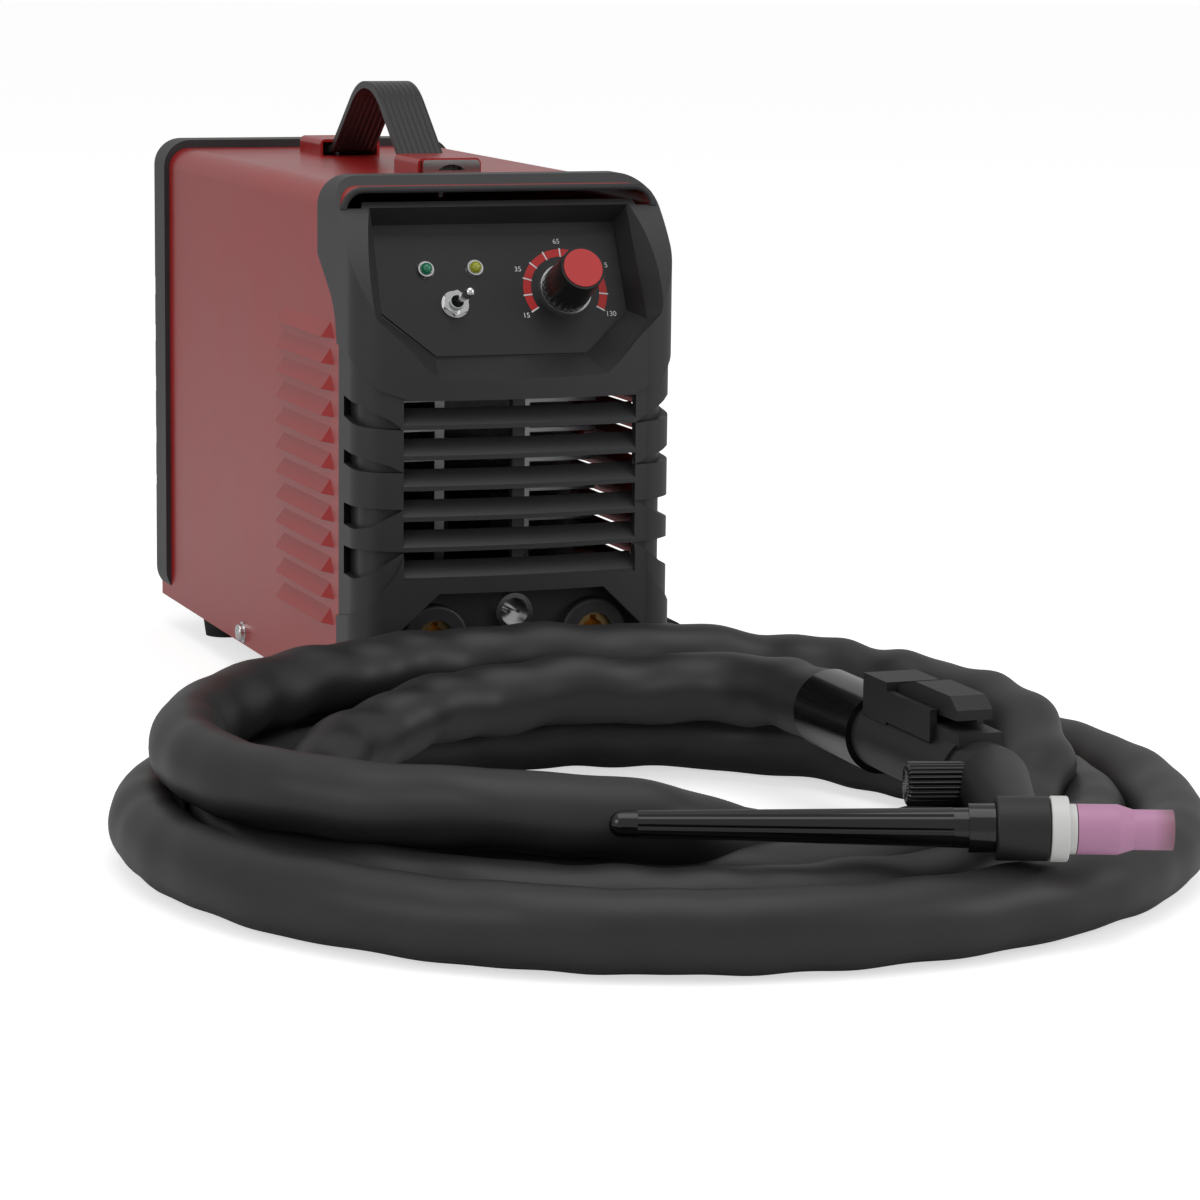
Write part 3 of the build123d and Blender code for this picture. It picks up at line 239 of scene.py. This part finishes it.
def make_finishes(look):
    """Every material, keyed by the slot it finishes."""
    red = tuple(look.case_colour)
    plastic = tuple(look.moulding_colour)
    finishes.update({
        "red_paint": rough_material("red powder coat", red, 0.3, grain=420, bump=0.12,
                                    distance=0.00012, tint=0.05, spread=0.05, coat=0.1),
        "black_satin": rough_material("charcoal moulded plastic", plastic, 0.44, grain=2600,
                                      bump=0.28, distance=0.00006, tint=0.08, spread=0.05),
        "steel": rough_material("zinc sheet", (0.52, 0.53, 0.54), 0.38, 1.0, 500, 0.1,
                                tint=0.12, spread=0.12, stretch=(1, 0.15, 1)),
        "rubber_black": rough_material("black rubber", (0.018, 0.018, 0.018), 0.75, grain=1500,
                                       bump=0.25),
        "chrome": rough_material("bright plated steel", (0.74, 0.74, 0.74), 0.18, 1.0, 700, 0.06,
                                 tint=0.05, spread=0.06),
        "label_black": rough_material("black label film", (0.0095, 0.0095, 0.010), 0.34,
                                      grain=1900, bump=0.06, spread=0.05),
        "knob_black": rough_material("black knob plastic", (0.010, 0.010, 0.010), 0.3, grain=1800,
                                     bump=0.1),
        "cap_red": rough_material("matte red cap", (0.52, 0.035, 0.035), 0.5, grain=2200,
                                  bump=0.15, tint=0.05),
        "lamp_green": rough_material("green lamp", (0.01, 0.20, 0.10), 0.12, grain=900, bump=0.03,
                                     coat=0.5),
        "lamp_yellow": rough_material("yellow lamp", (0.34, 0.36, 0.02), 0.12, grain=900,
                                      bump=0.03, coat=0.5),
        "strap_black": rough_material("black strap", (0.020, 0.020, 0.020), 0.34, grain=1500,
                                      bump=0.08),
        "board_green": rough_material("green circuit board", (0.015, 0.11, 0.04), 0.35, grain=700,
                                      bump=0.15, tint=0.3, blotch=160),
        "aluminium": rough_material("extruded aluminium", (0.72, 0.73, 0.74), 0.32, 1.0, 600, 0.1,
                                    stretch=(1, 0.05, 1)),
        "ferrite": rough_material("ferrite", (0.03, 0.03, 0.032), 0.6, grain=1400, bump=0.3),
        "copper_wire": rough_material("enamelled wire", (0.45, 0.16, 0.06), 0.28, 0.6, 900, 0.1),
        "brass": rough_material("turned brass", (0.70, 0.48, 0.20), 0.3, 1.0, 900, 0.08),
        "device_black": rough_material("moulded case", (0.014, 0.014, 0.015), 0.55, grain=1800,
                                       bump=0.2),
        "fan_black": rough_material("fan plastic", (0.014, 0.014, 0.014), 0.45, grain=1600,
                                    bump=0.15),
        "rocker_red": rough_material("red rocker", (0.42, 0.015, 0.015), 0.25, grain=1200,
                                     bump=0.05, coat=0.3),
        "torch_black": rough_material("torch rubber", (0.013, 0.013, 0.013), 0.5, grain=1400,
                                      bump=0.25),
        "gloss_black": rough_material("glossy black resin", (0.0045, 0.0045, 0.0045), 0.16,
                                      grain=700, bump=0.05, spread=0.05, coat=0.3),
        "insulator_white": rough_material("white insulator", (0.74, 0.74, 0.72), 0.4, grain=1200,
                                          bump=0.08, tint=0.03),
        "ceramic_pink": rough_material("pink alumina", (0.56, 0.27, 0.44), 0.42, grain=1800,
                                       bump=0.15, tint=0.05),
        "copper": rough_material("copper", (0.62, 0.30, 0.17), 0.3, 1.0, 700, 0.08),
        "tungsten": rough_material("tungsten", (0.40, 0.40, 0.41), 0.35, 1.0, 900, 0.1),
        "hose_black": rough_material("woven black sleeve", (0.019, 0.019, 0.0195), 0.46,
                                     grain=2200, bump=0.22, distance=0.00008, tint=0.12,
                                     blotch=30),
    })
    add_ridges(finishes["strap_black"], "X", 0.0024, 0.8, 0.0006)
    add_ridges(finishes["copper_wire"], "Z", 0.0016, 0.7, 0.0005)
    rim_tint(finishes["ceramic_pink"])
    white = rough_material("white print", (0.72, 0.72, 0.72), 0.5, bump=0.02, tint=0.03)
    band = rough_material("red print", (0.50, 0.012, 0.012), 0.42, bump=0.02, tint=0.04)
    edge = rough_material("grey moulded edge", (0.10, 0.10, 0.10), 0.5, bump=0.1)
    cut = rough_material("bare cut steel", (0.66, 0.66, 0.66), 0.3, 1.0, bump=0.08)
    finishes.update({"white_print": white, "red_print": band, "edge_grey": edge, "bare": cut})


def rim_tint(material):
    """Darkens the nozzle towards its mouth, where the glaze is browned."""
    tree = material.node_tree
    shader = tree.nodes["Principled BSDF"]
    before = shader.inputs["Base Color"].links[0].from_socket
    place = tree.nodes["Texture Coordinate"]
    along = tree.nodes.new("ShaderNodeVectorMath")
    along.operation = "DOT_PRODUCT"
    along.inputs[1].default_value = tuple(head_axis)
    tree.links.new(place.outputs["Object"], along.inputs[0])
    low, high = (np.asarray(corner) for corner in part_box("nozzle"))
    reach = max(float(head_axis @ low), float(head_axis @ [high[0], low[1], low[2]]))
    span = tree.nodes.new("ShaderNodeMapRange")
    span.inputs["From Min"].default_value = reach - 0.0105
    span.inputs["From Max"].default_value = reach - 0.0045
    tree.links.new(along.outputs["Value"], span.inputs["Value"])
    mix = tree.nodes.new("ShaderNodeMix")
    mix.data_type = "RGBA"
    mix.inputs["B"].default_value = (0.30, 0.145, 0.19, 1.0)
    tree.links.new(span.outputs["Result"], mix.inputs["Factor"])
    tree.links.new(before, mix.inputs["A"])
    tree.links.new(mix.outputs["Result"], shader.inputs["Base Color"])


# ---- settings ----
class WelderLook(bpy.types.PropertyGroup):
    """Colours of the machine's case."""
    case_colour: bpy.props.FloatVectorProperty(
        name="Case colour", description="Powder coat of the steel cover", size=3,
        subtype="COLOR", min=0.0, max=1.0, default=(0.36, 0.008, 0.0075))
    moulding_colour: bpy.props.FloatVectorProperty(
        name="Moulding colour", description="Plastic of the two end mouldings", size=3,
        subtype="COLOR", min=0.0, max=1.0, default=(0.026, 0.026, 0.028))


class WelderDial(bpy.types.PropertyGroup):
    """Printed scale round the current knob."""
    inner_radius: bpy.props.FloatProperty(
        name="Inner radius", description="Inside edge of the red band", unit="LENGTH",
        default=0.0142)
    outer_radius: bpy.props.FloatProperty(
        name="Outer radius", description="Outside edge of the red band", unit="LENGTH",
        default=0.0174)
    start_angle: bpy.props.FloatProperty(
        name="Start", description="Angle where the band starts", subtype="ANGLE",
        default=math.radians(210.5))
    sweep: bpy.props.FloatProperty(
        name="Sweep", description="Angle that the band covers", subtype="ANGLE",
        default=math.radians(241.5))


class WelderHose(bpy.types.PropertyGroup):
    """Sleeved hose of the torch."""
    radius: bpy.props.FloatProperty(
        name="Radius", description="Radius of the sleeved hose", unit="LENGTH", default=0.014)
    wrinkle: bpy.props.FloatProperty(
        name="Wrinkle", description="Depth of the sleeve's folds", unit="LENGTH",
        default=0.0019)


settings = {"welder_look": WelderLook, "welder_dial": WelderDial, "welder_hose": WelderHose}


# ---- operators ----
class WELDER_OT_finish_frame(bpy.types.Operator):
    """Gives every part of the frame the finish of its slot"""
    bl_idname = "welder.finish_frame"
    bl_label = "Finish the frame"

    def execute(self, context):
        make_finishes(context.scene.welder_look)
        slots = {part["node"]: part["material_slot"] for part in frame["record"]["subparts"]}
        for name, node in nodes.items():
            material = finishes[slots[name]]
            if not node.data.materials:
                node.data.materials.append(material)
            for place in node.material_slots:
                place.material = material
        return {"FINISHED"}


def ring_sector(inner, outer, start, sweep, height, count=96):
    """Flat band: radius from inner to outer and angle from start through sweep, in the panel."""
    angle = start + np.linspace(0.0, sweep, count)
    radius = np.array([inner, outer])
    a, r = np.meshgrid(angle, radius, indexing="ij")
    return on_panel(knob_at[0] + r * np.cos(a), knob_at[1] + r * np.sin(a), height)


def add_text(words, x, s, size):
    """Flat lettering on the panel, as a mesh, centred on a point."""
    curve = bpy.data.curves.new(f"scale {words}", "FONT")
    curve.body = words
    curve.size = size
    curve.align_x = "CENTER"
    curve.align_y = "CENTER"
    holder = bpy.data.objects.new(f"scale {words}", curve)
    mesh = bpy.data.meshes.new_from_object(holder)
    across = Vector((1.0, 0.0, 0.0))
    turn = Matrix((across, Vector(panel_up), Vector(panel_normal))).transposed().to_4x4()
    turn.translation = Vector(on_panel(x, s, plate_face + 0.00012))
    mesh.transform(turn)
    bpy.data.objects.remove(holder)
    return mesh


class WELDER_OT_dial(bpy.types.Operator):
    """Prints the red band, its ticks and its numbers round the current knob"""
    bl_idname = "welder.dial"
    bl_label = "Dial scale"

    def execute(self, context):
        dial = context.scene.welder_dial
        start, sweep = dial.start_angle, -dial.sweep
        band = ring_sector(dial.inner_radius, dial.outer_radius, start, sweep,
                           plate_face + 0.00006)
        add_piece("dial_band", grid_mesh("dial_band", band[::-1]), finishes["red_print"],
                  "machine")
        values = (15, 35, 65, 95, 130)
        shares = np.array([0.0, 0.235, 0.49, 0.75, 1.0])
        marks = []
        for share in np.linspace(0.0, 1.0, 11):
            angle = start + sweep * share
            wide = 0.018
            tick = ring_sector(dial.inner_radius - 0.0002, dial.outer_radius + 0.0004,
                               angle + wide, -2 * wide, plate_face + 0.00010, 3)
            marks.append(tick[::-1])
        for number, tick in enumerate(marks):
            add_piece(f"dial_tick_{number}", grid_mesh("dial_tick", tick),
                      finishes["white_print"], "machine")
        for value, share in zip(values, shares):
            angle = start + sweep * share
            reach = dial.outer_radius + 0.0032
            x = knob_at[0] + reach * math.cos(angle)
            s = knob_at[1] + reach * math.sin(angle)
            add_piece(f"dial_number_{value}", add_text(str(value), x, s, 0.0030),
                      finishes["white_print"], "machine")
        return {"FINISHED"}


class WELDER_OT_knob_index(bpy.types.Operator):
    """Adds the white pointer line on the side of the current knob"""
    bl_idname = "welder.knob_index"
    bl_label = "Knob pointer"

    def execute(self, context):
        angle = math.radians(108.0) + np.linspace(-0.055, 0.055, 5)
        depth = np.linspace(0.0015, 0.0195, 8)
        a, d = np.meshgrid(angle, depth, indexing="ij")
        r = 0.0099 - 0.001 * d / 0.0235 + 0.00006
        points = on_panel(knob_at[0] + r * np.cos(a), knob_at[1] + r * np.sin(a), d)
        add_piece("knob_pointer", grid_mesh("knob_pointer", points[::-1]),
                  finishes["white_print"], "current_dial")
        return {"FINISHED"}


class WELDER_OT_torch_trim(bpy.types.Operator):
    """Turns the knurled gas valve knob"""
    bl_idname = "welder.torch_trim"
    bl_label = "Valve knob and back cap"

    def execute(self, context):
        low, high = (np.asarray(corner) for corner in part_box("valve_knob"))
        corners = np.array([(x, y, z) for x in (low[0], high[0]) for y in (low[1], high[1])
                            for z in (low[2], high[2])])
        half = (high[2] - low[2]) / 2.0
        middle = (low + high) / 2.0
        reach = float((middle - valve_origin) @ valve_axis)
        length = (high[0] - low[0] - 2 * half * abs(valve_axis[1])) / abs(valve_axis[0])
        start, end = reach - length / 2.0, reach + length / 2.0
        knurl = [(start, half * 0.55), (start, half * 0.9), (start + 0.0008, half)]
        knurl += [(d, half) for d in np.linspace(start + 0.0012, end - 0.0012, 10)]
        knurl += [(end - 0.0004, half * 0.9), (end, half * 0.75), (end - 0.0004, half * 0.5)]
        points = turned(valve_origin, valve_axis, knurl, 160, 26, 0.0011)
        add_piece("gas_valve_knob", grid_mesh("gas_valve_knob", points, closed_v=True, cap=True),
                  finishes["gloss_black"], "gas_valve", ("valve_knob",))
        return {"FINISHED"}


def coil_route(radius):
    """Middle line of the wound hose: radius and height follow smooth curves of the angle
    round the coil, worked out at 24 points a turn."""
    table = np.array(coil_turns)
    angle = np.arange(75.0, 1425.0, 15.0)
    kept = np.clip(angle, table[0, 0], table[-1, 0])
    place = np.clip(np.searchsorted(table[:, 0], kept, side="right") - 1, 0, len(table) - 2)
    share = (kept - table[place, 0]) / (table[place + 1, 0] - table[place, 0])
    ease = share * share * (3.0 - 2.0 * share)
    ring = table[place, 1] + (table[place + 1, 1] - table[place, 1]) * ease
    height = table[place, 2] + (table[place + 1, 2] - table[place, 2]) * ease
    turn = np.radians(angle)
    x = coil_x + ring * np.cos(turn)
    y = coil_y + ring * np.sin(turn)
    return np.stack([x, y, height], -1)


class WELDER_OT_hose(bpy.types.Operator):
    """Lays the sleeved hose from the torch round its coil and out to its plug"""
    bl_idname = "welder.hose"
    bl_label = "Torch hose"

    def execute(self, context):
        hose = context.scene.welder_hose
        start = [(0.065, front - 0.187, 0.040), (0.065, front - 0.160, 0.0395),
                 (0.058, front - 0.128, 0.038)]
        route = start + coil_route(hose.radius).tolist() + tail_route
        curve = bpy.data.curves.new("hose line", "CURVE")
        curve.dimensions = "3D"
        curve.resolution_u = 8
        spline = curve.splines.new("NURBS")
        spline.points.add(len(route) - 1)
        for point, place in zip(spline.points, route):
            point.co = (*place, 1.0)
        spline.order_u = 3
        spline.use_endpoint_u = True
        holder = bpy.data.objects.new("hose line", curve)
        line = bpy.data.meshes.new_from_object(holder)
        path = np.empty(len(line.vertices) * 3)
        line.vertices.foreach_get("co", path)
        path = path.reshape(-1, 3)
        bpy.data.objects.remove(holder)
        bpy.data.meshes.remove(line)
        steps = np.linalg.norm(np.diff(path, axis=0), axis=1)
        keep = np.concatenate([[True], steps > 1e-6])
        path = path[keep]
        along = np.concatenate([[0.0], np.cumsum(np.linalg.norm(np.diff(path, axis=0), axis=1))])
        total = float(along[-1])
        even = np.linspace(0.0, total, 1500)
        middle = np.stack([np.interp(even, along, path[:, k]) for k in range(3)], -1)
        heading = np.gradient(middle, axis=0)
        heading /= np.linalg.norm(heading, axis=1)[:, None]
        side = np.cross(heading, [0.0, 0.0, 1.0])
        side /= np.linalg.norm(side, axis=1)[:, None]
        over = np.cross(side, heading)
        around = np.linspace(0.0, 2 * math.pi, 44, endpoint=False)
        radius = self.sleeve(hose, even, around, middle, total)
        points = middle[:, None, :] + radius[..., None] * (
            np.cos(around)[None, :, None] * side[:, None, :]
            + np.sin(around)[None, :, None] * over[:, None, :])
        points[..., 2] = np.maximum(points[..., 2], 0.0003)
        piece = add_piece("hose", grid_mesh("hose", points[:, ::-1], closed_v=True, cap=True),
                          finishes["hose_black"], "machine",
                          ("hose_coil", "hose_tail"))
        return {"FINISHED"}

    def sleeve(self, hose, even, around, middle, total):
        """Radius of the sleeve: the hose's radius, plus folds made of slow waves along it whose
        phase drifts round it, deeper towards the torch end, patchy along and round it, and fading at
        both ends."""
        s = even[:, None]
        a = around[None, :]
        folds = (
            0.50 * np.sin(2 * math.pi * s / 0.047 + 1.7 * np.sin(a) + 2.1 * np.sin(s * 17.0))
            + 0.32 * np.sin(2 * math.pi * s / 0.029 - 2.3 * np.cos(a) + 1.3 * np.sin(s * 31.0))
            + 0.18 * np.sin(2 * math.pi * s / 0.083 + 2.0 * a)
        )
        pinch = 0.5 + 0.5 * np.sin(s * 9.0 + 1.1 * np.cos(a))
        weight = 0.25 + 0.75 * np.clip(1.15 - s / 2.4, 0.0, 1.0) * pinch
        fade = np.clip(np.minimum(s / 0.05, (total - s) / 0.05), 0.0, 1.0)
        return hose.radius - 0.0004 + hose.wrinkle * (folds - 0.35) * weight * fade


class WELDER_OT_cover_lip(bpy.types.Operator):
    """Runs a thin black band along the front edge of the steel cover: a dark sheet of painted shade
    that stands for the shadow line where the cover meets the front moulding
    """
    bl_idname = "welder.cover_lip"
    bl_label = "Cover join shade"

    def execute(self, context):
        points = self.lip()
        # painted shade: this black band stands in for the shadow line at the join of cover and front
        # moulding
        add_piece("cover_lip", grid_mesh("cover_lip", points, closed_v=True, cap=True),
                  finishes["black_satin"], "machine")
        return {"FINISHED"}

    def lip(self):
        """Four-cornered section carried over the cover's outline: angle a round each shoulder
        gives x = 56 sign + r cos a and z = 209 + r sin a, in mm, with r from 6.8 to 9.3. The band it
        makes is painted shade along the cover's front join."""
        angle = np.concatenate([np.linspace(math.pi, math.pi / 2, 13),
                                np.linspace(math.pi / 2, 0.0, 13)])
        centre = np.concatenate([np.full(13, -0.056), np.full(13, 0.056)])
        radius = np.array([0.0093, 0.0093, 0.0068, 0.0068])
        depth = front - np.array([0.0001, 0.0010, 0.0010, 0.0001])
        x = centre[:, None] + radius * np.cos(angle)[:, None]
        z = 0.209 + radius * np.sin(angle)[:, None]
        return np.stack([x, np.broadcast_to(depth, x.shape), z], -1)


class WELDER_OT_stage(bpy.types.Operator):
    """Sets the floor, the studio lights, the world and the camera"""
    bl_idname = "welder.stage"
    bl_label = "Stage"

    def execute(self, context):
        self.camera(context.scene)
        self.lights(context.scene)
        self.floor(context.scene)
        context.scene.view_settings.view_transform = "Standard"
        return {"FINISHED"}

    def camera(self, scene):
        """Camera from its bearing, tilt and roll."""
        yaw, pitch, roll = (math.radians(v) for v in (20.2319, 9.45284, 0.6484))
        forward = Vector((math.sin(yaw) * math.cos(pitch), math.cos(yaw) * math.cos(pitch),
                          -math.sin(pitch)))
        level = Vector((math.cos(yaw), -math.sin(yaw), 0.0))
        upright = level.cross(forward)
        right = level * math.cos(roll) + upright * math.sin(roll)
        up = upright * math.cos(roll) - level * math.sin(roll)
        data = bpy.data.cameras.new("camera")
        data.lens = 124.66
        data.sensor_width = 36.0
        data.clip_end = 50.0
        camera = bpy.data.objects.new("camera", data)
        turn = Matrix((right, up, -forward)).transposed().to_4x4()
        turn.translation = Vector((-0.52657, -1.68988, 0.32580))
        camera.matrix_world = turn
        scene.collection.objects.link(camera)
        scene.camera = camera

    def lights(self, scene):
        """Large soft boxes above, left and right, aimed at the machine."""
        boxes = [
            ("top box", (-0.1, -0.5, 1.9), 1.7, 11.0),
            ("left box", (-1.7, -1.1, 1.0), 0.9, 5.0),
            ("right box", (1.6, -1.4, 0.9), 0.9, 7.0),
        ]
        for name, place, size, power in boxes:
            data = bpy.data.lights.new(name, "AREA")
            data.shape = "SQUARE"
            data.size = size
            data.energy = power
            lamp = bpy.data.objects.new(name, data)
            lamp.location = place
            aim = Vector((0.0, -0.15, 0.08)) - Vector(place)
            lamp.rotation_euler = aim.to_track_quat("-Z", "Y").to_euler()
            scene.collection.objects.link(lamp)

    def floor(self, scene):
        """Pale floor that looks white to the camera but keeps soft shadows, and a white world."""
        mesh = bpy.data.meshes.new("floor")
        size = 12.0
        mesh.from_pydata([(-size, -size, 0), (size, -size, 0), (size, size, 0),
                          (-size, size, 0)], [], [(0, 1, 2, 3)])
        floor = bpy.data.objects.new("floor", mesh)
        scene.collection.objects.link(floor)
        material = bpy.data.materials.new("pale floor")
        material.use_nodes = True
        tree = material.node_tree
        shader = tree.nodes["Principled BSDF"]
        shader.inputs["Base Color"].default_value = (0.8, 0.8, 0.8, 1.0)
        shader.inputs["Roughness"].default_value = 0.9
        shader.inputs["Specular IOR Level"].default_value = 0.0
        glow = tree.nodes.new("ShaderNodeEmission")
        glow.inputs["Strength"].default_value = 0.62
        seen = tree.nodes.new("ShaderNodeLightPath")
        both = tree.nodes.new("ShaderNodeAddShader")
        mix = tree.nodes.new("ShaderNodeMixShader")
        tree.links.new(shader.outputs[0], both.inputs[0])
        tree.links.new(glow.outputs[0], both.inputs[1])
        tree.links.new(seen.outputs["Is Camera Ray"], mix.inputs[0])
        tree.links.new(shader.outputs[0], mix.inputs[1])
        tree.links.new(both.outputs[0], mix.inputs[2])
        tree.links.new(mix.outputs[0], tree.nodes["Material Output"].inputs["Surface"])
        mesh.materials.append(material)
        world = bpy.data.worlds.new("studio")
        scene.world = world
        world.use_nodes = True
        tree = world.node_tree
        sky = tree.nodes["Background"]
        sky.inputs["Color"].default_value = (1.0, 1.0, 1.0, 1.0)
        sky.inputs["Strength"].default_value = 0.45
        white = tree.nodes.new("ShaderNodeBackground")
        white.inputs["Color"].default_value = (1.0, 1.0, 1.0, 1.0)
        white.inputs["Strength"].default_value = 1.0
        seen = tree.nodes.new("ShaderNodeLightPath")
        mix = tree.nodes.new("ShaderNodeMixShader")
        tree.links.new(seen.outputs["Is Camera Ray"], mix.inputs[0])
        tree.links.new(sky.outputs[0], mix.inputs[1])
        tree.links.new(white.outputs[0], mix.inputs[2])
        tree.links.new(mix.outputs[0], tree.nodes["World Output"].inputs["Surface"])


class WELDER_PT_panel(bpy.types.Panel):
    """Lists the welder's settings and steps"""
    bl_idname = "WELDER_PT_panel"
    bl_label = "Welder"
    bl_space_type = "VIEW_3D"
    bl_region_type = "UI"
    bl_category = "Welder"

    def draw(self, context):
        for name, group in settings.items():
            for field in group.__annotations__:
                self.layout.prop(getattr(context.scene, name), field)
        for step in steps:
            self.layout.operator(step.bl_idname)


steps = [WELDER_OT_finish_frame, WELDER_OT_stage, WELDER_OT_hose, WELDER_OT_dial,
         WELDER_OT_knob_index, WELDER_OT_torch_trim, WELDER_OT_cover_lip]


def register():
    for group in [*settings.values(), *steps, WELDER_PT_panel]:
        bpy.utils.register_class(group)
    for name, group in settings.items():
        setattr(bpy.types.Scene, name, bpy.props.PointerProperty(type=group))


def unregister():
    for name in settings:
        delattr(bpy.types.Scene, name)
    for group in reversed([*settings.values(), *steps, WELDER_PT_panel]):
        bpy.utils.unregister_class(group)


def main():
    register()
    bpy.ops.welder.finish_frame()
    bpy.ops.welder.stage()
    bpy.ops.welder.hose()
    bpy.ops.welder.dial()
    bpy.ops.welder.knob_index()
    bpy.ops.welder.torch_trim()
    bpy.ops.welder.cover_lip()


if __name__ == "__main__":
    main()
